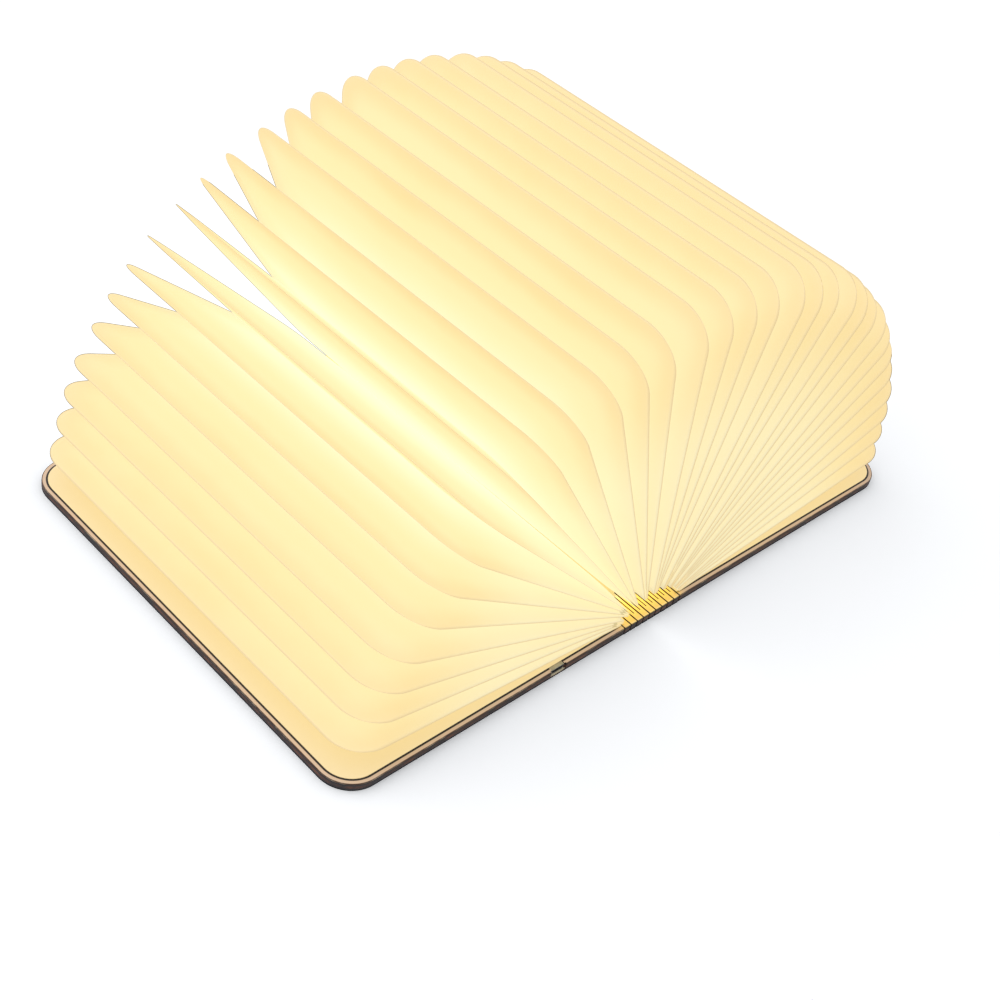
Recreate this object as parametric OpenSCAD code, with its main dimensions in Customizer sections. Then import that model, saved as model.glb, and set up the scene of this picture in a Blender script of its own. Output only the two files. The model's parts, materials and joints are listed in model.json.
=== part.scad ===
// Folding book lamp, drawn lying open at 180 degrees with its fan of pages standing up.
// X runs across the covers, Y along the spine, Z up; the origin is on the table, midway.

/* [Covers] */
// Height of the book, along its spine
book_h = 215; // [170:1:260]
// Width of one cover, from its hinge line to its fore-edge
cover_w = 155.5; // [135:0.5:190]
// Thickness of the wooden covers and slats
board_t = 3.9; // [3.5:0.1:4.4]
// Radius of the outer corners of the covers
cover_r = 15; // [6:1:30]
// Small round on the outer, long edges of the covers
edge_break = 0.4; // [0.2:0.1:0.8]

/* [Living hinge] */
// Spacing of the hinge lines
hinge_pitch = 4; // [3.9:0.05:4.3]
// Number of slats between the covers
slat_count = 9; // [9:2:11]
// Width of the saw cut along each hinge line
kerf = 0.7; // [0.68:0.01:0.8]
// Radius of the round nose of each wooden bridge
nose_r = 1.2; // [1:0.05:1.3]
// Running clearance round each nose
nose_gap = 0.06; // [0.04:0.01:0.09]
// Length of each bridge along the spine
bridge_len = 7; // [5:0.5:9]
// Number of bridges on each hinge line
bridge_count = 4; // [3:1:5]
// Distance of the outer bridges from the ends of the spine
bridge_inset = 33; // [24:1:38]
// Width of the blind slots that soften the slats
slot_w = 0.5; // [0.3:0.05:0.6]
// Wood left between one blind slot and the next
slot_web = 5.5; // [4:0.5:8]
// Wood left between the blind slots and the ends of the slats
slot_inset = 4; // [3:0.5:7]

/* [Pages] */
// Number of pages in the fan
leaf_count = 32; // [26:2:34]
// Distance of the pages' fore-edges from the fore-edges of the covers
fore_margin = 2; // [1.5:0.5:20]
// Distance of the pages' ends from the ends of the covers
end_margin = 1.5; // [1:0.5:12]
// Thickness of a page, which is two plies folded at the fore-edge
leaf_t = 0.3; // [0.2:0.02:0.36]
// Radius of the outer corners of a page
leaf_r = 16; // [8:1:32]
// Free height between a closed cover and the page next to it
stack_gap = 0.45; // [0.35:0.05:0.8]
// Distance of the page folds from the hinge line of the covers
root_setback = 1; // [0.95:0.05:1.3]
// Clearance between a page fold and the paper that carries it
fold_gap = 0.2; // [0.12:0.01:0.25]

/* [Page guards and end sheets] */
// Thickness of the folded paper guards and of the end sheets
guard_t = 0.3; // [0.2:0.02:0.34]
// Distance of the guards from the ends of the spine
guard_inset = 16; // [10:1:24]
// Width of the glued foot of a guard
guard_foot_w = 2.4; // [1.6:0.1:2.8]
// Gap between the caps of neighbouring guards when the book is closed
cap_gap = 0.2; // [0.16:0.02:0.3]
// Bare wooden margin round an end sheet
sheet_margin = 2.6; // [1.5:0.1:6]
// Distance of an end sheet from the hinge line
sheet_setback = 0.55; // [0.5:0.05:0.7]

/* [Light] */
// Distance of the LED bar from the ends of the spine
led_inset = 17.5; // [12:0.5:30]
// Width of the LED bar
led_w = 3; // [2.6:0.1:3.2]
// Height of the aluminium channel
channel_h = 4.2; // [3:0.1:4.4]
// Wall of the aluminium channel
channel_wall = 0.5; // [0.4:0.05:0.6]
// Depth of the LED board's seat below the channel's rim
led_seat = 2; // [1.6:0.1:2.4]
// Thickness of the LED board
led_board_t = 0.8; // [0.6:0.1:1]
// Number of LEDs on the bar
led_count = 18; // [8:1:24]
// Height of the diffuser above the channel
diffuser_h = 3.4; // [2.6:0.1:3.6]

/* [Electronics and magnets] */
// Wood left under the battery and board pockets
pocket_floor = 1.2; // [0.9:0.05:1.3]
// Side clearance of what sits in a pocket
pocket_gap = 0.4; // [0.3:0.05:0.6]
// Width of the battery
battery_w = 62; // [40:1:70]
// Length of the battery
battery_len = 108; // [70:1:120]
// Thickness of the battery
battery_t = 2.3; // [1.6:0.1:2.3]
// Distance of the battery's centre from the middle of the spine
battery_x = 92; // [80:1:110]
// Width of the control board
control_w = 34; // [26:1:40]
// Length of the control board
control_len = 22; // [18:1:26]
// Thickness of the control board
control_t = 0.8; // [0.6:0.1:1]
// Distance of the charging socket from the middle of the spine
socket_x = 58.5; // [50:0.5:80]
// Width of the charging socket's shell
socket_w = 7.5; // [7:0.1:8.2]
// Height of the charging socket's shell
socket_h = 2.5; // [2.3:0.05:2.5]
// Length of the charging socket's shell
socket_len = 5.6; // [5:0.1:6.4]
// Radius of the fore-edge magnets
magnet_r = 4; // [2.5:0.25:5]
// Thickness of the magnets
magnet_t = 2; // [1.5:0.1:2.2]
// Radius of the small magnet that works the opening switch
trigger_r = 2; // [1.5:0.25:2.5]
// Radial clearance of a magnet in its pocket
magnet_gap = 0.08; // [0.05:0.01:0.12]
// Distance of the magnets from the fore-edge
magnet_inset = 9; // [7:0.5:14]
// Number of magnets along each fore-edge
magnet_count = 3; // [2:1:4]

/* [Hidden] */
$fn = 64;
// A little overrun that keeps cuts clear of coincident faces
cut = 0.5;
hinge_count = slat_count + 1;
strip_w = slat_count * hinge_pitch;
mid_z = board_t / 2;
mid_slat = (slat_count + 1) / 2;
// Turn of each hinge when the book is shut
fold = 180 / hinge_count;
// Angle between one page and the next when the lamp lies open
fan_step = 180 / (leaf_count + 1);

// Place of hinge line i, as [x, z], with the lamp open and with it shut over the left cover
function open_hinge(i) = [i * hinge_pitch - strip_w / 2, mid_z];
function shut_hinge(i) = i == 0 ? open_hinge(0)
    : shut_hinge(i - 1) + hinge_pitch * [cos(i * fold), sin(i * fold)];
function turned(p, a) = [p[0] * cos(a) - p[1] * sin(a), p[0] * sin(a) + p[1] * cos(a)];
// A point of carrier k taken from the shut book to the open lamp; carrier 0 is the left cover,
// the slats are 1 and up, and the right cover comes after the last slat
function opened(k, p) = k == 0 ? p
    : open_hinge(k - 1) + turned(p - shut_hinge(k - 1), -k * fold);

// The shut page block, between the end sheets
block_low = board_t + guard_t + stack_gap + leaf_t / 2;
block_high = shut_hinge(slat_count)[1] - mid_z - guard_t - stack_gap - leaf_t / 2;
leaf_pitch = (block_high - block_low) / (leaf_count - 1);
leaf_w = cover_w - root_setback - fore_margin;
leaf_h = book_h - 2 * end_margin;
root_x = -strip_w / 2 - root_setback;
function leaf_angle(j) = j * fan_step;
function shut_root(j) = [root_x, block_low + (j - 1) * leaf_pitch];
// The carrier whose turn is nearest a page's own
function carrier(j) = round(leaf_angle(j) / fold);
function leaf_root(j) = opened(carrier(j), shut_root(j));
function carried_by(k) = [for (j = [1:leaf_count]) if (carrier(j) == k) j];

// The socket and its control board lie at the front edge of the left cover
front_y = -book_h / 2;
socket_recess = 0.8;
socket_z = board_t - socket_h - 0.25;
socket_wall = 0.3;
tongue_t = 0.6;
tongue_w = 4.6;
control_y = front_y + socket_recess + socket_len - 1.2 + control_len / 2;
control_z = socket_z;
battery_y = control_y + control_len / 2 + 6 + battery_len / 2;
magnet_x = strip_w / 2 + cover_w - magnet_inset;
magnet_z = board_t - 0.15 - magnet_t;
magnet_span = book_h - 2 * (cover_r + 22);
// The Hall switch on the board, and the trigger magnet that shuts over it
hall_x = socket_x - control_w / 2 + 4;
hall_y = control_y + control_len / 2 - 5;
chip_t = 0.9;

led_len = book_h - 2 * led_inset;
diffuser_top = board_t + channel_h + diffuser_h;

function two_digits(j) = str(j < 10 ? "0" : "", j);

// ---- Shared forms ----

// Stretches an outline drawn in X and Z along the spine
module along_spine(length) {
    translate([0, length / 2, 0]) rotate([90, 0, 0]) linear_extrude(length) children();
}

// A sheet outline from x = 0 to w, with round corners on the far side
module leaf_outline(w, h, r) {
    translate([0, -h / 2]) square([w - r, h]);
    translate([w - r, r - h / 2]) square([r, h - 2 * r]);
    for (s = [-1, 1]) translate([w - r, s * (h / 2 - r)]) circle(r);
}

// A bar between two points of a profile
module profile_bar(a, b, t) {
    run = b - a;
    side = [-run[1], run[0]] / norm(run) * t / 2;
    polygon([a - side, b - side, b + side, a + side]);
}

// ---- Covers and living hinge ----

// One cover lies from its kerf at the hinge line to its fore-edge, with broken long edges
module cover_blank() {
    start = strip_w / 2 + kerf / 2;
    width = cover_w - kerf / 2;
    translate([start, 0, edge_break])
        linear_extrude(board_t - 2 * edge_break) leaf_outline(width, book_h, cover_r);
    for (z = [0, board_t - edge_break])
        translate([start, 0, z])
            linear_extrude(edge_break)
                leaf_outline(width - edge_break / 2, book_h - edge_break, cover_r - edge_break / 2);
}

function bridge_y(i) = (i - (bridge_count - 1) / 2)
    * (book_h - 2 * bridge_inset) / (bridge_count - 1);

// Round noses on hinge line i, which seat in the grooves of the next slat
module noses(i) {
    for (b = [0:bridge_count - 1])
        translate([open_hinge(i)[0], bridge_y(b) + bridge_len / 2, mid_z])
            rotate([90, 0, 0]) cylinder(r = nose_r, h = bridge_len);
}

// The grooves round the noses of hinge line i
module nose_grooves(i) {
    for (b = [0:bridge_count - 1])
        translate([open_hinge(i)[0], bridge_y(b) + bridge_len / 2 + nose_gap, mid_z])
            rotate([90, 0, 0]) cylinder(r = nose_r + nose_gap, h = bridge_len + 2 * nose_gap);
}

// Blind slots in the middle of a slat, staggered against the bridges
module blind_slots(k) {
    slots = bridge_count;
    room = book_h - 2 * slot_inset;
    length = (room - (slots - 1) * slot_web) / slots;
    for (i = [0:slots - 1])
        translate([(k - 0.5) * hinge_pitch - strip_w / 2 - slot_w / 2,
                -room / 2 + i * (length + slot_web), -cut])
            cube([slot_w, length, board_t + 2 * cut]);
}

module magnet_pockets() {
    depth = board_t - magnet_z + cut;
    for (i = [0:magnet_count - 1])
        translate([magnet_x, magnet_y(i), magnet_z]) cylinder(r = magnet_r + magnet_gap, h = depth);
}

function magnet_y(i) = (i / (magnet_count - 1) - 0.5) * magnet_span;

module cover_left() {
    color("burlywood") {
        difference() {
            mirror([1, 0, 0]) cover_blank();
            mirror([1, 0, 0]) magnet_pockets();
            battery_pocket();
            control_pocket();
            socket_notch();
        }
        noses(0);
    }
}

module cover_right() {
    color("burlywood") difference() {
        cover_blank();
        magnet_pockets();
        nose_grooves(slat_count);
        translate([hall_x, hall_y, magnet_z])
            cylinder(r = trigger_r + magnet_gap, h = board_t);
    }
}

module slat(k) {
    color("tan") {
        difference() {
            translate([(k - 1) * hinge_pitch - strip_w / 2 + kerf / 2, -book_h / 2, 0])
                cube([hinge_pitch - kerf, book_h, board_t]);
            nose_grooves(k - 1);
            blind_slots(k);
        }
        noses(k);
    }
}

// ---- End sheets, page guards and pages ----

// An end sheet lines the inside of a cover and turns up at the spine to hold the outer pages
module end_sheet(pages) {
    start = -strip_w / 2 - sheet_setback;
    tall = max([for (j = pages) shut_root(j)[1]]) + leaf_pitch / 2 - cap_gap / 2;
    color("ivory") {
        translate([0, 0, board_t]) mirror([1, 0, 0]) translate([-start, 0, 0])
            linear_extrude(guard_t)
                leaf_outline(cover_w - sheet_setback - sheet_margin,
                    book_h - 2 * sheet_margin, cover_r - sheet_margin);
        translate([root_x + fold_gap, -book_h / 2 + guard_inset, board_t])
            cube([guard_t, book_h - 2 * guard_inset, tall - board_t]);
    }
}

module end_sheet_left() end_sheet(carried_by(0));

module end_sheet_right() mirror([1, 0, 0]) end_sheet(carried_by(0));

// Where guard k stands: the middle of its slat, or the LED bar on the middle slat
function guard_foot(k) = [
    (k - 0.5) * hinge_pitch - strip_w / 2,
    k == mid_slat ? diffuser_top : board_t
];

// A folded paper guard: glued foot, web and the cap that a group of pages is folded on
module page_guard(k) {
    pages = carried_by(k);
    low = shut_root(pages[0])[1] - leaf_pitch / 2 + cap_gap / 2;
    high = shut_root(pages[len(pages) - 1])[1] + leaf_pitch / 2 - cap_gap / 2;
    cap_x = root_x + fold_gap + guard_t / 2;
    foot = guard_foot(k);
    color("ivory") along_spine(book_h - 2 * guard_inset) {
        translate([foot[0] - guard_foot_w / 2, foot[1]]) square([guard_foot_w, guard_t]);
        profile_bar(foot + [0, guard_t / 2], opened(k, [cap_x, (low + high) / 2]), guard_t);
        profile_bar(opened(k, [cap_x, low]), opened(k, [cap_x, high]), guard_t);
    }
}

// A page: two plies folded at the fore-edge and pressed flat, standing at its fan angle
module page(j) {
    root = leaf_root(j);
    color("lightyellow")
        translate([root[0], 0, root[1]]) rotate([0, leaf_angle(j), 0])
            mirror([1, 0, 0]) translate([0, 0, -leaf_t / 2])
                linear_extrude(leaf_t) leaf_outline(leaf_w, leaf_h, leaf_r);
}

// ---- Light ----

// The aluminium channel, with the LED board glued on its seat
module led_channel() {
    seat = channel_h - led_seat;
    led_board();
    color("silver") translate([0, 0, board_t]) along_spine(led_len) difference() {
        translate([-led_w / 2, 0]) square([led_w, channel_h]);
        translate([channel_wall - led_w / 2, seat])
            square([led_w - 2 * channel_wall, led_seat + cut]);
    }
}

module led_board() {
    width = led_w - 2 * channel_wall - 0.1;
    chip = 1.4;
    glue_t = 0.05;
    z = board_t + channel_h - led_seat + glue_t;
    color("gold") translate([0, 0, z]) {
        along_spine(led_len - 2) translate([-width / 2, 0]) square([width, led_board_t]);
        for (i = [0:led_count - 1])
            translate([-chip / 2, (i - (led_count - 1) / 2) * led_len / led_count - chip, led_board_t])
                cube([chip, 2 * chip, 0.7]);
    }
}

// The opal rod that closes the channel, round on top with a flat land under the guard
module led_diffuser() {
    color("white") translate([0, 0, board_t + channel_h]) along_spine(led_len)
        intersection() {
            translate([-led_w / 2, 0]) square([led_w, diffuser_h]);
            translate([0, diffuser_h - led_w * 0.6]) circle(led_w * 0.66);
        }
}

// ---- Electronics and magnets, all in the covers ----

module battery_pocket() {
    translate([-battery_x - battery_w / 2 - pocket_gap, battery_y - battery_len / 2 - pocket_gap,
            pocket_floor])
        cube([battery_w + 2 * pocket_gap, battery_len + 2 * pocket_gap, board_t]);
}

module control_pocket() {
    translate([-socket_x - control_w / 2 - pocket_gap, control_y - control_len / 2 - pocket_gap,
            control_z])
        cube([control_w + 2 * pocket_gap, control_len + 2 * pocket_gap, board_t]);
    // Channel for the battery's wires
    wire_w = 8;
    translate([-battery_x + battery_w / 2 - wire_w, control_y, control_z])
        cube([wire_w, battery_y - battery_len / 2 - control_y + cut, board_t]);
}

// The mouth in the front edge where the plug's shell reaches the socket
module socket_notch() {
    mouth = socket_w + 1.6;
    translate([-socket_x - mouth / 2, front_y - cut, socket_z - 0.2])
        cube([mouth, socket_recess + cut, board_t]);
    translate([-socket_x - socket_w / 2 - 0.1, front_y, socket_z])
        cube([socket_w + 0.2, socket_recess + socket_len + 0.4, board_t]);
}

module battery() {
    fold_r = battery_t / 2;
    color("lightgray") translate([-battery_x, battery_y, pocket_floor]) {
        // Pouch with round long sides, and the taped strip with its tabs at the front end
        along_spine(battery_len - 6) {
            translate([fold_r - battery_w / 2, 0]) square([battery_w - 2 * fold_r, battery_t]);
            for (s = [-1, 1]) translate([s * (battery_w / 2 - fold_r), fold_r]) circle(fold_r);
        }
        translate([fold_r - battery_w / 2, -battery_len / 2, 0])
            cube([battery_w - 2 * fold_r, 3, battery_t * 0.6]);
        translate([fold_r - battery_w / 2, battery_len / 2 - 3, 0])
            cube([battery_w - 2 * fold_r, 3, battery_t * 0.4]);
    }
}

// The board under the end sheet, with the charging socket soldered to its front edge
module control_board() {
    usb_socket();
    color("darkgreen") translate([-socket_x, control_y, control_z]) {
        difference() {
            translate([-control_w / 2, -control_len / 2, 0])
                cube([control_w, control_len, control_t]);
            // Notch for the socket's shell
            translate([-socket_w / 2 - 0.2, -control_len / 2 - cut, -cut])
                cube([socket_w + 0.4, 1.2 + cut + 0.2, control_t + 2 * cut]);
        }
        translate([-6, -1, control_t]) cube([4, 4, chip_t]);
        translate([4, -2, control_t]) cube([5, 5, chip_t + 0.3]);
        for (x = [-14, -12, 12, 14]) translate([x, 2, control_t]) cube([1, 1.8, 0.6]);
    }
    // Hall switch, under the trigger magnet when the book is shut
    color("black") translate([-hall_x - 1.5, hall_y - 1, control_z + control_t])
        cube([3, 2, chip_t]);
}

module usb_socket() {
    color("silver") translate([-socket_x, front_y + socket_recess, socket_z]) {
        translate([0, socket_len / 2, 0]) along_spine(socket_len) difference() {
            socket_profile(0);
            socket_profile(socket_wall);
        }
        // Back wall and the tongue that holds the contacts
        translate([0, socket_len - socket_wall / 2, 0]) along_spine(socket_wall) socket_profile(0);
        translate([-tongue_w / 2, 1, socket_h / 2 + 0.1]) cube([tongue_w, socket_len - 1.2, tongue_t]);
    }
}

// The shell's mouth, narrower at the bottom, in by an inset
module socket_profile(inset) {
    half = socket_w / 2 - inset;
    low = inset;
    high = socket_h - inset;
    chamfer = 0.9;
    polygon([
        [chamfer - half, low], [half - chamfer, low], [half, low + chamfer],
        [half, high], [-half, high], [-half, low + chamfer]
    ]);
}

module magnet_discs(side) {
    for (i = [0:magnet_count - 1])
        translate([side * magnet_x, magnet_y(i), magnet_z]) cylinder(r = magnet_r, h = magnet_t);
}

module magnets_left() color("dimgray") magnet_discs(-1);

module magnets_right() color("dimgray") {
    magnet_discs(1);
    translate([hall_x, hall_y, magnet_z]) cylinder(r = trigger_r, h = magnet_t);
}

cover_left();
cover_right();
end_sheet_left();
end_sheet_right();
for (k = [1:slat_count]) slat(k);
for (k = [1:slat_count]) page_guard(k);
for (j = [1:leaf_count]) page(j);
led_channel();
led_diffuser();
battery();
control_board();
magnets_left();
magnets_right();
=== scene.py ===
"""Looks of a folding book lamp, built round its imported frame.

The wooden covers, the slotted hinge between them and the light keep their solids and get
their finishes here. Each page is replaced by a closed pleat of two plies, which is folded
along its three free sides and swells until it meets the pages beside it.
"""

import json
import logging
import math
from abc import ABC, abstractmethod
from dataclasses import dataclass, field
from enum import Enum
from typing import ClassVar

import bpy
from mathutils import Matrix, Vector


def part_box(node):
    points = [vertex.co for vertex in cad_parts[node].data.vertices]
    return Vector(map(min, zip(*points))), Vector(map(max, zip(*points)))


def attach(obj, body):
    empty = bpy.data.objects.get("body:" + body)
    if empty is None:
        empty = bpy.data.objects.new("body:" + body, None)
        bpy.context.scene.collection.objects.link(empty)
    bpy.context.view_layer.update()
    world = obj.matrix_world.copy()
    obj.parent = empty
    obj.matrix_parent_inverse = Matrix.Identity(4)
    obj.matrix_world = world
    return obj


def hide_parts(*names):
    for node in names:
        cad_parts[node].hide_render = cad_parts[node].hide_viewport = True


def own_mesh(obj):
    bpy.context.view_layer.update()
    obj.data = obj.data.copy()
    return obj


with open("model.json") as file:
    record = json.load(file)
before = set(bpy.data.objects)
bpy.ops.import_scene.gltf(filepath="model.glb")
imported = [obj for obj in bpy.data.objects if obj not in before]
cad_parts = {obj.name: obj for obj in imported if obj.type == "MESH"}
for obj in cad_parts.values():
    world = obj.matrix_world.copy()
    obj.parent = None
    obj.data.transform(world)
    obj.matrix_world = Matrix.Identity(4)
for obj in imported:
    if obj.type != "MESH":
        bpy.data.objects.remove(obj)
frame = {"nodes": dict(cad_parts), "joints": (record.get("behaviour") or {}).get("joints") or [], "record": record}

log = logging.getLogger("book_lamp")

MM = 0.001
BLACK = (0.0, 0.0, 0.0)
Colour = tuple[float, float, float]
# Where a smooth step starts and where it ends
Band = tuple[float, float]
# A plain number, or a node's output that stands for one
Number = "float | Term"


# ---- Writing node trees ----


@dataclass(frozen=True)
class Term:
    """A node's output that arithmetic can be written on."""

    graph: "Graph"
    socket: bpy.types.NodeSocket

    def __add__(self, other: Number) -> "Term":
        """The sum."""
        return self.graph.math("ADD", self, other)

    def __sub__(self, other: Number) -> "Term":
        """The difference."""
        return self.graph.math("SUBTRACT", self, other)

    def __rsub__(self, other: Number) -> "Term":
        """The difference, taken from a number."""
        return self.graph.math("SUBTRACT", other, self)

    def __mul__(self, other: Number) -> "Term":
        """The product."""
        return self.graph.math("MULTIPLY", self, other)

    def __truediv__(self, other: Number) -> "Term":
        """The quotient."""
        return self.graph.math("DIVIDE", self, other)

    def abs(self) -> "Term":
        """The size without its sign."""
        return self.graph.math("ABSOLUTE", self)

    def max(self, other: Number) -> "Term":
        """The larger of the two."""
        return self.graph.math("MAXIMUM", self, other)

    def min(self, other: Number) -> "Term":
        """The smaller of the two."""
        return self.graph.math("MINIMUM", self, other)

    def soft_min(self, other: Number, reach: Number) -> "Term":
        """The smaller of the two, rounded where they are within reach of each other."""
        return self.graph.math("SMOOTH_MIN", self, other, reach)

    def root(self) -> "Term":
        """The square root."""
        return self.graph.math("SQRT", self)

    def step(self, low: float, high: float) -> "Term":
        """A smooth step.

        Args:
            low: the value at which the step is 0.
            high: the value at which it is 1, which may be the lesser of the two.

        Returns:
            The step.
        """
        return self.graph.call("MapRange", {"Value": self, "From Min": low, "From Max": high},
                               interpolation_type="SMOOTHSTEP")


class Graph:
    """Adds nodes to a shader or geometry tree and links them."""

    SHARED: ClassVar[tuple[str, ...]] = ("MapRange", "Math", "CombineXYZ", "SeparateXYZ",
                                         "TexNoise", "Mix")
    # Where a Mix node of colours has its share and its two colours, and where its result
    MIX_INPUTS: ClassVar[tuple[int, int, int]] = (0, 6, 7)
    MIX_RESULT: ClassVar[int] = 2

    def __init__(self, tree: bpy.types.NodeTree) -> None:
        """Starts on a tree, whose kind decides which nodes are meant."""
        self.tree = tree
        self.shading = tree.bl_idname == "ShaderNodeTree"

    def add(self, kind: str, **settings: object) -> bpy.types.Node:
        """Adds a node.

        Args:
            kind: the node's type without its ShaderNode or GeometryNode prefix, or a type
                that starts with Node in full.
            settings: properties to set on the node.

        Returns:
            The node.
        """
        prefix = "ShaderNode" if self.shading or kind in self.SHARED else "GeometryNode"
        node = self.tree.nodes.new(kind if kind.startswith("Node") else prefix + kind)
        for name, value in settings.items():
            setattr(node, name, value)
        return node

    def feed(self, socket: bpy.types.NodeSocket, value: object) -> None:
        """Links a term to a socket, or sets the socket to a plain value.

        Args:
            socket: the input that is fed.
            value: a term, another node's output or a plain value.
        """
        if isinstance(value, Term):
            self.tree.links.new(value.socket, socket)
        elif isinstance(value, bpy.types.NodeSocket):
            self.tree.links.new(value, socket)
        else:
            socket.default_value = value

    def call(self, kind: str, inputs: dict[str | int, object] | None = None,
             output: str | int = 0, **settings: object) -> Term:
        """Adds a node and feeds its inputs.

        Args:
            kind: the node's type, as add takes it.
            inputs: what each input is fed, by its name or place.
            output: the name or place of the output that is wanted.
            settings: properties to set on the node.

        Returns:
            The output.
        """
        node = self.add(kind, **settings)
        for name, value in (inputs or {}).items():
            self.feed(node.inputs[name], value)
        return Term(self, node.outputs[output])

    def math(self, operation: str, *values: Number) -> Term:
        """One step of arithmetic on numbers and terms."""
        return self.call("Math", dict(enumerate(values)), operation=operation)

    def split(self, vector: Term) -> tuple[Term, Term, Term]:
        """Takes a vector apart.

        Args:
            vector: a place or a direction.

        Returns:
            Its three parts.
        """
        node = self.add("SeparateXYZ")
        self.feed(node.inputs[0], vector)
        return tuple(Term(self, output) for output in node.outputs)

    def joined(self, x: Number, y: Number, z: Number) -> Term:
        """A vector from its three parts."""
        return self.call("CombineXYZ", {0: x, 1: y, 2: z})

    def noise(self, place: Term, scale: float, detail: float) -> Term:
        """A value of noise from 0 to 1 at a place."""
        return self.call("TexNoise", {"Vector": place, "Scale": scale, "Detail": detail})

    def blended(self, share: Number, first: object, second: object) -> Term:
        """Mixes two colours.

        Args:
            share: how much of the second there is, from 0 to 1.
            first: a colour or a term.
            second: a colour or a term.

        Returns:
            The mixed colour.
        """
        values = (opaque(value) for value in (share, first, second))
        return self.call("Mix", dict(zip(self.MIX_INPUTS, values)), output=self.MIX_RESULT,
                         data_type="RGBA")


@dataclass(frozen=True)
class Grain:
    """A pattern of noise, closer together along some axes than along others."""

    scale: float
    detail: float = 3.0
    closer: tuple[float, float, float] = (1.0, 1.0, 1.0)

    def over(self, graph: Graph, place: Term) -> Term:
        """Lays the pattern over a surface.

        Args:
            graph: the material's graph.
            place: where each point of the surface is.

        Returns:
            The pattern's value, from 0 to 1.
        """
        if any(factor != 1.0 for factor in self.closer):
            parts = zip(graph.split(place), self.closer)
            place = graph.joined(*(part if factor == 1.0 else part * factor
                                   for part, factor in parts))
        return graph.noise(place, self.scale, self.detail)


def opaque(value: object) -> object:
    """A colour of three numbers with its alpha added, and anything else as it is."""
    return (*value, 1.0) if isinstance(value, tuple) and len(value) == 3 else value


def from_screen(red: int, green: int, blue: int) -> Colour:
    """Turns a colour as a screen shows it into the linear light that shaders take.

    Args:
        red: the level of red, from 0 to 255.
        green: the level of green.
        blue: the level of blue.

    Returns:
        The linear colour, by the sRGB curve.
    """
    top_level, toe, toe_slope, offset, power = 255, 0.04045, 12.92, 0.055, 2.4

    def linear(level: int) -> float:
        """One channel."""
        share = level / top_level
        return share / toe_slope if share <= toe else ((share + offset) / (1 + offset)) ** power

    return linear(red), linear(green), linear(blue)


# ---- Finishes ----


def new_material(name: str) -> tuple[bpy.types.Material, Graph, bpy.types.Node]:
    """Makes an empty material.

    Args:
        name: the material's name.

    Returns:
        The material, its graph and its one surface shader.
    """
    material = bpy.data.materials.new(name)
    material.use_nodes = True
    material.node_tree.nodes.clear()
    graph = Graph(material.node_tree)
    shader = graph.add("BsdfPrincipled")
    graph.feed(graph.add("OutputMaterial").inputs["Surface"], shader.outputs[0])
    return material, graph, shader


def paint(graph: Graph, shader: bpy.types.Node, colour: Term | Colour, roughness: float) -> None:
    """Gives a shader its colour and its plain roughness."""
    graph.feed(shader.inputs["Base Color"], opaque(colour))
    shader.inputs["Roughness"].default_value = roughness


def light_up(graph: Graph, shader: bpy.types.Node, colour: Term | Colour, glow: float) -> None:
    """Gives a shader the light that it sends out."""
    graph.feed(shader.inputs["Emission Color"], opaque(colour))
    shader.inputs["Emission Strength"].default_value = glow


@dataclass(frozen=True)
class Relief:
    """How rough a surface is to the touch."""

    strength: float
    depth: float

    def press(self, graph: Graph, shader: bpy.types.Node, height: Term) -> None:
        """Gives a shader a fine relief that follows a height."""
        inputs = {"Height": height, "Strength": self.strength, "Distance": self.depth}
        graph.feed(shader.inputs["Normal"], graph.call("Bump", inputs))


@dataclass(frozen=True)
class Paper(ABC):
    """Paper with the light of the lamp behind it."""

    name: str
    bare: Colour
    glow: float
    roughness: float = 0.9
    fibres: Grain = Grain(900.0, 5.0)
    relief: Relief = Relief(0.12, 0.05 * MM)

    @abstractmethod
    def light(self, graph: Graph, place: Term) -> Term:
        """The light that comes through, which is each kind of paper's own.

        Args:
            graph: the material's graph.
            place: where each point of the paper is.

        Returns:
            The colour.
        """

    def build(self) -> bpy.types.Material:
        """Makes the material.

        Returns:
            Fibrous paper that glows.
        """
        material, graph, shader = new_material(self.name)
        place = graph.call("TexCoord", output="Object")
        self.relief.press(graph, shader, self.fibres.over(graph, place))
        paint(graph, shader, self.bare, self.roughness)
        light_up(graph, shader, self.light(graph, place), self.glow)
        return material


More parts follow.
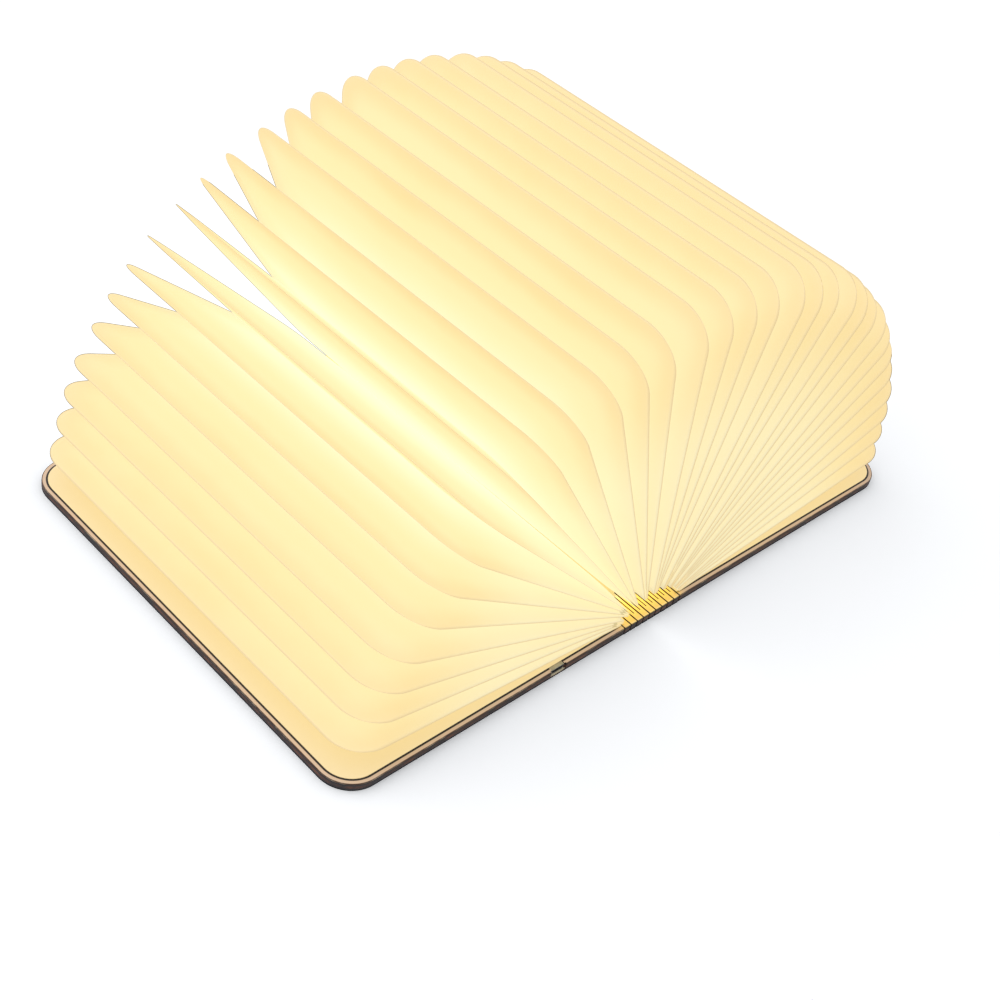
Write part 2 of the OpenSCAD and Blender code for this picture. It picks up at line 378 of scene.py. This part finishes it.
@dataclass(frozen=True)
class LitPaper(Paper):
    """The pages' paper, brightest where it lies deepest in the fan.

    It reads two attributes that the pleats carry: how far a point is from the fold, and how
    far it is from the page's root.
    """

    name: str = "lit_paper"
    bare: Colour = (0.31, 0.305, 0.285)
    glow: float = 0.72
    # Painted shade: the glow is dimmer along the crease of each fold
    fold: Colour = from_screen(242, 210, 140)
    rim: Colour = from_screen(250, 216, 134)
    face: Colour = from_screen(254, 232, 164)
    deep: Colour = from_screen(255, 252, 210)
    cloud: Grain = Grain(28.0, 4.0)
    cloud_reach: float = 9 * MM
    crease: Band = (0.55 * MM, 0.15 * MM)
    rim_to_face: Band = (1 * MM, 14 * MM)
    face_to_deep: Band = (10 * MM, 58 * MM)
    near_root: Band = (150 * MM, 70 * MM)
    root_share: float = 0.5

    def light(self, graph: Graph, place: Term) -> Term:
        """The light through a page, from the fold inwards and from the root outwards.

        Args:
            graph: the material's graph.
            place: where each point of the page is.

        Returns:
            The colour.
        """
        fold = graph.call("Attribute", attribute_name="from_fold", output="Fac")
        reach = graph.call("Attribute", attribute_name="from_root", output="Fac")
        depth = fold + (self.cloud.over(graph, place) - 0.5) * self.cloud_reach
        colour = graph.blended(depth.step(*self.rim_to_face), self.rim, self.face)
        colour = graph.blended(depth.step(*self.face_to_deep), colour, self.deep)
        colour = graph.blended(reach.step(*self.near_root) * self.root_share, colour, self.deep)
        # Painted shade: the crease takes the dimmer fold glow
        return graph.blended(fold.step(*self.crease), colour, self.fold)


@dataclass(frozen=True)
class LinerPaper(Paper):
    """The paper on the covers and the hinge, lit from the spine outwards."""

    name: str = "liner_paper"
    bare: Colour = (0.31, 0.30, 0.27)
    glow: float = 0.66
    near: Colour = from_screen(255, 222, 136)
    far: Colour = from_screen(252, 218, 142)
    cloud: Grain = Grain(22.0, 4.0)
    cloud_share: float = 0.2
    outwards: Band = (14 * MM, 60 * MM)

    def light(self, graph: Graph, place: Term) -> Term:
        """The light through the liner, from the spine outwards.

        Args:
            graph: the material's graph.
            place: where each point of the liner is.

        Returns:
            The colour.
        """
        across = graph.split(place)[0].abs().step(*self.outwards)
        cloud = self.cloud.over(graph, place) * self.cloud_share
        share = (across + cloud - self.cloud_share / 2).max(0.0).min(1.0)
        return graph.blended(share, self.near, self.far)


@dataclass(frozen=True)
class Spot:
    """What the plywood is told of each point of its surface."""

    across: Term
    height: Term
    rim: Term
    scorch: Term


@dataclass(frozen=True)
class BirchPly:
    """Thin birch plywood cut by laser, with pale faces and burnt edges in three plies."""

    name: str
    board: float
    half_x: float
    half_y: float
    corner: float
    sheet_margin: float
    hinge_half: float

    pale: Colour = from_screen(232, 220, 188)
    grain: Colour = from_screen(221, 203, 164)
    margin: Colour = from_screen(214, 188, 166)
    burnt: Colour = from_screen(26, 21, 25)
    middle_ply: Colour = from_screen(96, 56, 38)
    # Painted light: the lamp's light on the hinge, as the wood's lit colour and its warm to hot glow
    warm: Colour = from_screen(250, 208, 60)
    hot: Colour = from_screen(255, 246, 196)
    lit: Colour = from_screen(220, 180, 116)
    roughness: float = 0.62
    glow: float = 0.9
    relief: Relief = Relief(0.15, 0.08 * MM)

    streaks: Grain = Grain(14.0, 6.0, closer=(9.0, 1.2, 1.0))
    streak_tone: Band = (0.42, 0.72)
    pores: Grain = Grain(40.0, 3.0, closer=(60.0, 5.0, 1.0))
    pore_tone: Band = (0.62, 0.8)
    pore_share: float = 0.35
    scorches: Grain = Grain(160.0)
    scorch_on_face: Band = (0.2, 0.6)
    scorch_on_edge: Band = (0.3, 0.75)
    scorch_reach: Band = (0.55 * MM, 0.1 * MM)

    top_from: Band = (0.8, 0.95)
    face_to_edge: Band = (0.75, 0.55)
    middle_third: Band = (0.19, 0.15)
    blur: float = 0.2 * MM
    hinge_blur: float = 0.3 * MM
    line_width: float = 1.0 * MM

    spill_across: Band = (24 * MM, 14 * MM)
    spill_upright: Band = (0.5, 0.9)
    spill_rim: Band = (0.3 * MM, 0.8 * MM)
    warm_to_hot: Band = (9 * MM, 22 * MM)
    fade_in: Band = (0.0, 9 * MM)
    least_glow: float = 0.4

    def build(self) -> bpy.types.Material:
        """Makes the material.

        Returns:
            Plywood whose edges are found from the faces' own direction, with the light of
            the lamp painted on the hinge as colour and glow.
        """
        material, graph, shader = new_material(self.name)
        place = graph.call("TexCoord", output="Object")
        x, y, z = graph.split(place)
        upright = graph.split(graph.call("TexCoord", output="Normal"))[2].abs()
        spot = Spot(x.abs(), z, self.rim_distance(x, y), self.scorches.over(graph, place))
        streak, pores = self.streaks.over(graph, place), self.pores.over(graph, place)
        top = z.step(*(self.board * share for share in self.top_from))
        face = self.face(graph, spot, top, streak, pores)
        colour = graph.blended(upright.step(*self.face_to_edge), face, self.edge(graph, spot))
        # Painted light: the lamp's light on the hinge is painted into the colour and the glow
        spill = spot.across.step(*self.spill_across) * top * upright.step(*self.spill_upright)
        colour = graph.blended(spill * spot.rim.step(*self.spill_rim), colour, self.lit)
        self.relief.press(graph, shader, streak + pores)
        paint(graph, shader, colour, self.roughness)
        light_up(graph, shader, self.hinge_light(graph, spot, spill), self.glow)
        return material

    def face(self, graph: Graph, spot: Spot, top: Term, streak: Term, pores: Term) -> Term:
        """The flat faces, with the bare margin and a near-black line along its inner side.

        Args:
            graph: the material's graph.
            spot: what is known of each point.
            top: 1 on the faces that look into the open book.
            streak: the long streaks of the grain.
            pores: the fine pores of the grain.

        Returns:
            The colour.
        """
        face = graph.blended(streak.step(*self.streak_tone), self.pale, self.grain)
        face = graph.blended(pores.step(*self.pore_tone) * self.pore_share, face, self.grain)
        beside = spot.across.step(self.hinge_half - self.hinge_blur, self.hinge_half)
        bare = spot.rim.step(self.sheet_margin + self.blur, self.sheet_margin) * beside
        face = graph.blended(top * bare, face, self.margin)
        # A thin near-black line, in the edges' colour, runs along the margin's inner side beside the end sheet
        line_start = self.sheet_margin - self.line_width
        line = bare * spot.rim.step(line_start, line_start + self.blur)
        face = graph.blended(top * line, face, self.burnt)
        scorched = spot.rim.step(*self.scorch_reach) * spot.scorch.step(*self.scorch_on_face)
        return graph.blended(scorched, face, self.middle_ply)

    def edge(self, graph: Graph, spot: Spot) -> Term:
        """The cut edges, burnt dark, with the middle ply a little browner.

        Args:
            graph: the material's graph.
            spot: what is known of each point.

        Returns:
            The colour.
        """
        middle = (spot.height / self.board - 0.5).abs().step(*self.middle_third)
        return graph.blended(middle * spot.scorch.step(*self.scorch_on_edge), self.burnt,
                             self.middle_ply)

    def hinge_light(self, graph: Graph, spot: Spot, spill: Term) -> Term:
        """The lamp's light, painted on the hinge as glow, warmer and weaker towards its ends.

        Args:
            graph: the material's graph.
            spot: what is known of each point.
            spill: how much of the lamp's light reaches the point.

        Returns:
            The colour.
        """
        shine = graph.blended(spot.rim.step(*self.warm_to_hot), self.warm, self.hot)
        fade = spot.rim.step(*self.fade_in) * (1.0 - self.least_glow) + self.least_glow
        return graph.blended(spill * fade, BLACK, shine)

    def rim_distance(self, x: Term, y: Term) -> Term:
        """How far a point lies inside the outline of the open covers.

        Args:
            x: the point's place across the covers.
            y: its place along the spine.

        Returns:
            The distance, which is 0 on the outline.
        """
        across = x.abs() - (self.half_x - self.corner)
        along = y.abs() - (self.half_y - self.corner)
        a, b = across.max(0.0), along.max(0.0)
        return self.corner - (a * a + b * b).root() - across.max(along).min(0.0)


@dataclass(frozen=True)
class Polish:
    """A hard finish with fine brush marks."""

    name: str
    base: Colour
    metal: float
    roughness: float
    glow: float = 0.0
    brushing: Grain = Grain(60.0, 4.0, closer=(30.0, 1.0, 30.0))
    tone: Band = (0.3, 0.7)
    darker: float = 0.82
    unevenness: float = 0.15
    smoother: float = 0.07

    def build(self) -> bpy.types.Material:
        """Makes the material.

        Returns:
            A finish whose colour and gloss are a little uneven.
        """
        material, graph, shader = new_material(self.name)
        brushed = self.brushing.over(graph, graph.call("TexCoord", output="Object"))
        shade = tuple(self.darker * part for part in self.base)
        paint(graph, shader, graph.blended(brushed.step(*self.tone), self.base, shade),
              self.roughness)
        graph.feed(shader.inputs["Roughness"],
                   brushed * self.unevenness + (self.roughness - self.smoother))
        shader.inputs["Metallic"].default_value = self.metal
        if self.glow:
            light_up(graph, shader, self.base, self.glow)
        return material


class Gloss(Enum):
    """How the small parts of the light are finished."""

    BRUSHED = Polish("channel_aluminium", (0.80, 0.81, 0.82), metal=1.0, roughness=0.38)
    LIT_OPAL = Polish("opal_plastic", (1.0, 0.92, 0.68), metal=0.0, roughness=0.45, glow=1.4)
    POUCH = Polish("battery_pouch", (0.72, 0.73, 0.75), metal=0.9, roughness=0.42)
    SHELL = Polish("socket_steel", (0.42, 0.42, 0.43), metal=1.0, roughness=0.3)
    NICKEL = Polish("magnet_nickel", (0.66, 0.65, 0.63), metal=1.0, roughness=0.22)


# ---- Pages ----


@dataclass
class Fan:
    """The fan of pleated pages that stands between the covers."""

    SIZES: ClassVar[tuple[str, ...]] = (
        "Length", "Half Height", "Corner", "Fold Slope", "Wedge Above", "Wedge Below",
        "Start Above", "Start Below", "Swell Above", "Swell Below", "Clearance", "Pinch",
        "Softness", "Turn", "Root X", "Root Z", "Fullness", "Seed")
    COUNTS: ClassVar[tuple[str, ...]] = ("Steps Across", "Steps Along")
    # A line of the hinge within this share of a gap counts as beside the page there
    BESIDE: ClassVar[float] = 0.25
    # A line past this share of a gap lies on the next page
    ON_NEXT: ClassVar[float] = 0.99

    paper: bpy.types.Material
    fold_slope: float = 0.105
    clearance: float = 0.22 * MM
    pinch: float = 3.5 * MM
    pinch_blur: float = 0.2
    softness: float = 1.6 * MM
    corner: float = 16 * MM
    corner_blur: float = 0.8
    crease: float = 1.0 * MM
    least_half: float = 0.05 * MM
    weld: float = 0.01 * MM
    crowding: float = 0.6
    wave: Grain = Grain(9.0, 1.0)
    wave_share: float = 0.3
    fullness: float = 1.0
    sheet_thickness: float = 0.3 * MM
    steps_across: int = 46
    steps_along: int = 60
    kept_when_shut: float = 0.02

    names: list[str] = field(init=False)
    roots: list[Vector] = field(init=False)
    step: float = field(init=False)
    fold: float = field(init=False)
    half_height: float = field(init=False)
    length: float = field(init=False)

    def __post_init__(self) -> None:
        """Reads the pages' number, places and lines of turn from the frame."""
        self.names = sorted(name for name in frame["nodes"]
                            if name.startswith("page_") and number_of(name).isdigit())
        joints = {joint["name"]: joint for joint in frame["joints"]}
        self.roots = [Vector(joints[f"page_turn_{number_of(name)}"]["pos_m"])
                      for name in self.names]
        self.step = math.pi / (len(self.names) + 1)
        self.fold = math.pi / sum(name.startswith("spine_fold_") for name in joints)
        low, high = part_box(self.names[len(self.names) // 2])
        self.half_height = (high.y - low.y) / 2
        flat_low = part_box(self.names[0])[0]
        self.length = (self.roots[0].x - flat_low.x) / math.cos(self.step)

    def angle(self, index: int) -> float:
        """The turn of a page from the left cover, counted from nought."""
        return (index + 1) * self.step

    def gap(self, index: int, side: int) -> tuple[float, int]:
        """How a page shares the gap to its neighbour.

        A line that turns well inside the gap parts it where the line does, and each page
        then keeps to its own line. A line that turns close beside a page closes all of it.

        Args:
            index: the page.
            side: 1 for the next page and -1 for the one before.

        Returns:
            The page's own share of the gap, and the number of the line that flattens it.
        """
        own = self.angle(index)
        low = min(own, own + side * self.step)
        sector = int(low / self.fold)
        part = ((sector + 1) * self.fold - low) / self.step
        if part > self.ON_NEXT:
            return 0.5, sector + 1
        if self.BESIDE < part < 1 - self.BESIDE:
            return (part, sector + 1) if side > 0 else (1 - part, sector + 2)
        return max(part, 1 - part) / 2, sector + 1 if part > 0.5 else sector + 2

    def wedge_start(self, index: int, side: int) -> float:
        """Where a neighbour's plane meets a page's own plane.

        Args:
            index: the page.
            side: 1 for the next page and -1 for the one before.

        Returns:
            The place along the page, from its root, which lies behind the root.
        """
        other = index + side
        own, turn = self.roots[index], self.angle(index)
        if other in range(len(self.names)):
            near, away = self.roots[other], self.angle(other)
        else:
            near, away = self.hem(side), turn + side * self.step
        run = Vector((-math.cos(turn), math.sin(turn)))
        across = Vector((-math.sin(away), -math.cos(away)))
        gap = Vector((near.x - own.x, near.z - own.z))
        return gap.dot(across) / run.dot(across)

    def hem(self, side: int) -> Vector:
        """The point beside which the first or last page lies on its cover's end sheet.

        Args:
            side: 1 for the last page, on the right, and -1 for the first.

        Returns:
            The point, on top of the end sheet at the middle of the spine.
        """
        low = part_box("end_sheet_right" if side > 0 else "end_sheet_left")[0]
        return Vector((0.0, 0.0, low.z + self.sheet_thickness))

    def tree(self) -> bpy.types.NodeTree:
        """Builds the tree that makes one pleat from its sizes.

        Returns:
            A geometry tree that ends in Realize Instances and Set Material.
        """
        tree = bpy.data.node_groups.new("page_pleat", "GeometryNodeTree")
        for name in self.SIZES:
            tree.interface.new_socket(name, in_out="INPUT", socket_type="NodeSocketFloat")
        for name in self.COUNTS:
            tree.interface.new_socket(name, in_out="INPUT", socket_type="NodeSocketInt")
        tree.interface.new_socket("Paper", in_out="INPUT", socket_type="NodeSocketMaterial")
        tree.interface.new_socket("Pleat", in_out="OUTPUT", socket_type="NodeSocketGeometry")
        graph = Graph(tree)
        inputs = graph.add("NodeGroupInput").outputs
        size = {name: Term(graph, inputs[name])
                for name in (*self.SIZES, *self.COUNTS, "Paper")}
        both = graph.add("JoinGeometry")
        for side in (1, -1):
            graph.feed(both.inputs[0], self.ply(graph, size, side))
        closed = graph.call("MergeByDistance", {"Geometry": Term(graph, both.outputs[0]),
                                                "Distance": self.weld})
        smooth = graph.call("SetShadeSmooth", {"Geometry": closed})
        real = graph.call("RealizeInstances", {"Geometry": smooth})
        dressed = graph.call("SetMaterial", {"Geometry": real, "Material": size["Paper"]})
        graph.feed(graph.add("NodeGroupOutput").inputs[0], dressed)
        return tree

    def crowded(self, graph: Graph, share: Term) -> Term:
        """Moves the grid's even steps towards the edges, where the paper bends most."""
        bend = graph.math("SINE", share * (math.pi / 2))
        return bend * self.crowding + share * (1.0 - self.crowding)

    @staticmethod
    def outline(size: dict[str, Term], across: Term, along: Term) -> tuple[Term, Term]:
        """Bends a rectangle's corners round.

        Args:
            size: the tree's inputs by name.
            across: a point's place from the root to the fore-edge.
            along: its place from the middle of the page to an end, always positive.

        Returns:
            The same two places on a page with round corners.
        """
        corner = size["Corner"]
        straight_u, straight_v = size["Length"] - corner, size["Half Height"] - corner
        du = ((across - straight_u) / corner).max(0.0)
        dv = ((along - straight_v) / corner).max(0.0)
        u = across.min(straight_u) + du * (1.0 - dv * dv * 0.5).root() * corner
        v = along.min(straight_v) + dv * (1.0 - du * du * 0.5).root() * corner
        return u, v

    def fold_distance(self, size: dict[str, Term], u: Term, v: Term) -> Term:
        """How far a point is from the fold along the page's three free sides.

        Args:
            size: the tree's inputs by name.
            u: the point's place from the root.
            v: its place from the middle of the page, always positive.

        Returns:
            The distance, rounded where two sides are nearly as far.
        """
        corner = size["Corner"]
        deep = (size["Length"] - u).soft_min(size["Half Height"] - v, corner * self.corner_blur)
        past_u = (u - (size["Length"] - corner)).max(0.0)
        past_v = (v - (size["Half Height"] - corner)).max(0.0)
        round_in = corner - (past_u * past_u + past_v * past_v).root()
        return deep.min(round_in + (deep - corner).max(0.0)).max(0.0)

    def swell(self, size: dict[str, Term], facing: str, u: Term, from_fold: Term,
              wave: Term) -> Term:
        """How far a ply stands out from the page's middle.

        It rises from the fold, and stops short of the wedge that it shares with the page
        beside it.

        Args:
            size: the tree's inputs by name.
            facing: Above for the ply that faces the right cover and Below for the other.
            u: the point's place from the root.
            from_fold: how far it is from the fold.
            wave: a slow unevenness of the paper.

        Returns:
            The distance from the middle.
        """
        full = size["Fullness"] + (wave - 0.5) * self.wave_share
        rise = from_fold * size["Fold Slope"] * full
        wedge = (u - size[f"Start {facing}"]) * size[f"Wedge {facing}"] - size["Clearance"]
        wedge = wedge.max(self.least_half)
        half = rise.soft_min(wedge, size["Softness"]).min(wedge).max(0.0)
        half = half * (u / size["Pinch"]).soft_min(1.0, self.pinch_blur).min(1.0)
        return half * (from_fold / self.crease).min(1.0) * size[f"Swell {facing}"]

    def ply(self, graph: Graph, size: dict[str, Term], side: int) -> Term:
        """One of the two plies of a pleat.

        Args:
            graph: the tree to build in.
            size: the tree's inputs by name.
            side: 1 for the ply that faces the right cover and -1 for the other.

        Returns:
            The ply's geometry, in its place in the fan.
        """
        grid = graph.call("MeshGrid", {"Size X": 1.0, "Size Y": 2.0,
                                       "Vertices X": size["Steps Across"],
                                       "Vertices Y": size["Steps Along"]})
        a, b, _ = graph.split(graph.call("InputPosition"))
        across = size["Length"] * self.crowded(graph, a + 0.5)
        along = size["Half Height"] * self.crowded(graph, b)
        u, v = self.outline(size, across, along.abs())
        from_fold = self.fold_distance(size, u, v)
        wave = self.wave.over(graph, graph.joined(u, along, size["Seed"]))
        w = self.swell(size, "Above" if side > 0 else "Below", u, from_fold, wave) * float(side)
        cosine, sine = graph.math("COSINE", size["Turn"]), graph.math("SINE", size["Turn"])
        place = graph.joined(size["Root X"] - u * cosine + w * sine, v * graph.math("SIGN", b),
                             size["Root Z"] + u * sine + w * cosine)
        shaped = grid
        for name, value in (("from_fold", from_fold), ("from_root", u)):
            shaped = graph.call("StoreNamedAttribute",
                                {"Geometry": shaped, "Name": name, "Value": value},
                                data_type="FLOAT", domain="POINT")
        shaped = graph.call("SetPosition", {"Geometry": shaped, "Position": place})
        return graph.call("FlipFaces", {"Mesh": shaped}) if side > 0 else shaped

    def sizes_of(self, index: int, below: float, above: float) -> dict[str, object]:
        """What a page's pleat feeds to the tree, apart from the two swells.

        Args:
            index: the page.
            below: the page's share of the gap to the page before.
            above: its share of the gap to the next page.

        Returns:
            The values, by the names of the tree's inputs.
        """
        root = self.roots[index]
        return {
            "Length": self.length, "Half Height": self.half_height, "Corner": self.corner,
            "Fold Slope": self.fold_slope,
            "Wedge Above": math.tan(self.step * above),
            "Wedge Below": math.tan(self.step * below),
            "Start Above": self.wedge_start(index, 1),
            "Start Below": self.wedge_start(index, -1),
            "Clearance": self.clearance, "Pinch": self.pinch, "Softness": self.softness,
            "Turn": self.angle(index), "Root X": root.x, "Root Z": root.z,
            "Fullness": self.fullness, "Seed": float(index),
            "Steps Across": self.steps_across, "Steps Along": self.steps_along,
            "Paper": self.paper,
        }

    def build(self) -> None:
        """Makes every pleat, and splits in two the ones that two lines flatten."""
        tree = self.tree()
        sockets = {item.name: item.identifier for item in tree.interface.items_tree
                   if item.in_out == "INPUT"}
        for index, node in enumerate(self.names):
            number, turn, root = number_of(node), self.angle(index), self.roots[index]
            (below, line_below), (above, line_above) = self.gap(index, -1), self.gap(index, 1)
            values = self.sizes_of(index, below, above)
            parts = {"": (1.0, 1.0, line_below)}
            if line_below != line_above:
                parts = {"_below": (1.0, 0.0, line_below), "_above": (0.0, 1.0, line_above)}
            for ending, (swell_below, swell_above, line) in parts.items():
                values.update({"Swell Below": swell_below, "Swell Above": swell_above})
                pleat = grown(f"pleat_{number}{ending}", tree,
                              {sockets[name]: value for name, value in values.items()})
                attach(pleat, f"leaf_{number}")
                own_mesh(pleat)
                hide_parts(node)
                log.info("%s: %d faces", pleat.name, len(pleat.data.polygons))


def number_of(page: str) -> str:
    """The digits in a page's name."""
    return page.removeprefix("page_")


def grown(name: str, tree: bpy.types.NodeTree, values: dict[str, object]) -> bpy.types.Object:
    """Runs a geometry tree once and keeps its result as a plain mesh.

    Args:
        name: the piece's name.
        tree: the geometry tree.
        values: what each input is set to, by the socket's identifier.

    Returns:
        The piece, at the origin and with no modifier left.
    """
    piece = bpy.data.objects.new(name, bpy.data.meshes.new(name))
    bpy.context.scene.collection.objects.link(piece)
    modifier = piece.modifiers.new("grow", "NODES")
    modifier.node_group = tree
    for socket, value in values.items():
        modifier[socket] = value
    graph = bpy.context.evaluated_depsgraph_get()
    mesh = bpy.data.meshes.new_from_object(piece.evaluated_get(graph))
    mesh.name = name
    piece.modifiers.remove(modifier)
    piece.data = mesh
    return piece


# ---- The frame's own pieces ----


@dataclass
class Boards:
    """The covers, the slotted hinge and the small parts of the light."""

    sheet_margin: float = 2.6 * MM
    corner: float = 15 * MM

    @staticmethod
    def finish_of(node: str, finishes: dict[str, bpy.types.Material]) -> bpy.types.Material:
        """Finds the finish of a node by the slot that the record gives it.

        Args:
            node: the node's name.
            finishes: every finish by its slot.

        Returns:
            The node's finish.
        """
        rows = frame["record"]["subparts"]
        slot = next(row["material_slot"] for row in rows if row["node"] == node)
        return finishes[slot]

    def birch(self) -> bpy.types.Material:
        """Makes the plywood, with its sizes from the left cover's box.

        Returns:
            The material.
        """
        low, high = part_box("cover_left")
        return BirchPly("birch", board=high.z - low.z, half_x=-low.x,
                        half_y=(high.y - low.y) / 2, corner=self.corner,
                        sheet_margin=self.sheet_margin, hinge_half=-high.x).build()

    def dress(self, liner: bpy.types.Material) -> None:
        """Gives every node that keeps its own solid a finish.

        Args:
            liner: the paper of the end sheets and the guards.
        """
        finishes = {"birch": self.birch(), "liner_paper": liner}
        finishes.update({gloss.value.name: gloss.value.build() for gloss in Gloss})
        for name, node in frame["nodes"].items():
            if node.hide_render:
                continue
            finish = self.finish_of(name, finishes)
            if not node.material_slots:
                node.data.materials.append(finish)
            for place in node.material_slots:
                place.material = finish
            log.info("%s: %s", name, finish.name)


# ---- Stage ----


@dataclass
class Stage:
    """The camera, the light and the pale floor."""

    spot: Vector = Vector((-0.460709, -0.365828, 0.485264))
    ahead: Vector = Vector((0.58939, 0.47732, -0.65176))
    up: Vector = Vector((0.35777, 0.56912, 0.74034))
    focal_px: float = 1642.74
    middle_px: tuple[float, float] = (464.1, 508.4)
    picture_px: int = 1000
    sensor: float = 36.0
    clip_start: float = 0.01

    sky: Colour = (0.93, 0.96, 1.0)
    sky_strength: float = 0.8
    white: Colour = (0.965, 0.98, 1.0)
    white_strength: float = 1.09
    softbox_at: Vector = Vector((-0.7, 0.35, 1.3))
    softbox_size: float = 1.6
    softbox_watts: float = 8.5

    floor_size: float = 0.54
    floor_drop: float = 0.2 * MM
    floor_colour: Colour = (0.9, 0.92, 0.95)
    floor_roughness: float = 0.9

    def camera(self) -> None:
        """Sets the camera that looks down on the lamp from the left and in front."""
        data = bpy.data.cameras.new("camera")
        data.sensor_width = self.sensor
        data.lens = self.focal_px / self.picture_px * data.sensor_width
        data.shift_x = (self.picture_px / 2 - self.middle_px[0]) / self.picture_px
        data.shift_y = (self.middle_px[1] - self.picture_px / 2) / self.picture_px
        data.clip_start = self.clip_start
        camera = bpy.data.objects.new("camera", data)
        back = -self.ahead.normalized()
        right = self.up.cross(back).normalized()
        turn = Matrix((right, back.cross(right), back)).transposed()
        camera.matrix_world = Matrix.Translation(self.spot) @ turn.to_4x4()
        bpy.context.scene.collection.objects.link(camera)
        bpy.context.scene.camera = camera

    def room(self) -> None:
        """Fills the room with even light, and shows it white behind the lamp."""
        world = bpy.data.worlds.new("studio")
        bpy.context.scene.world = world
        world.use_nodes = True
        graph = Graph(world.node_tree)
        world.node_tree.nodes.clear()
        path = graph.add("LightPath").outputs
        seen = Term(graph, path["Is Camera Ray"]).max(Term(graph, path["Is Glossy Ray"]))
        seen = seen.max(Term(graph, path["Is Transmission Ray"]))
        sky = graph.call("Background", {"Color": opaque(self.sky),
                                        "Strength": self.sky_strength})
        white = graph.call("Background", {"Color": opaque(self.white),
                                          "Strength": self.white_strength})
        mixed = graph.add("MixShader")
        for index, value in enumerate((seen, sky, white)):
            graph.feed(mixed.inputs[index], value)
        graph.feed(graph.add("OutputWorld").inputs["Surface"], mixed.outputs[0])

    def softbox(self) -> None:
        """Hangs a wide soft light above the lamp, to the left and a little behind."""
        data = bpy.data.lights.new("softbox", "AREA")
        data.energy, data.size = self.softbox_watts, self.softbox_size
        lamp = bpy.data.objects.new("softbox", data)
        lamp.location = self.softbox_at
        lamp.rotation_euler = (-self.softbox_at).to_track_quat("-Z", "Y").to_euler()
        bpy.context.scene.collection.objects.link(lamp)

    def floor(self) -> None:
        """Lays the pale floor, which shows the lamp's shadow on the white of the room.

        It reaches little further than the shadow, so that it lies behind few of the page tips.
        """
        half = self.floor_size / 2
        corners = [(x * half, y * half, 0) for x, y in ((-1, -1), (1, -1), (1, 1), (-1, 1))]
        mesh = bpy.data.meshes.new("floor")
        mesh.from_pydata(corners, [], [(0, 1, 2, 3)])
        floor = bpy.data.objects.new("floor", mesh)
        material, graph, shader = new_material("pale_floor")
        paint(graph, shader, self.floor_colour, self.floor_roughness)
        mesh.materials.append(material)
        floor.location.z = -self.floor_drop
        floor.is_shadow_catcher = True
        bpy.context.scene.collection.objects.link(floor)

    def build(self) -> None:
        """Sets up the camera, the room, the softbox and the floor."""
        bpy.context.scene.view_settings.view_transform = "Standard"
        for part in (self.camera, self.room, self.softbox, self.floor):
            part()
            log.info("stage: %s", part.__name__)


def main() -> None:
    """Builds the stage and the lamp's looks."""
    logging.basicConfig(level=logging.INFO, format="%(name)s: %(message)s")
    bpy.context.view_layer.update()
    Stage().build()
    Fan(LitPaper().build()).build()
    Boards().dress(LinerPaper().build())


if __name__ == "__main__":
    main()
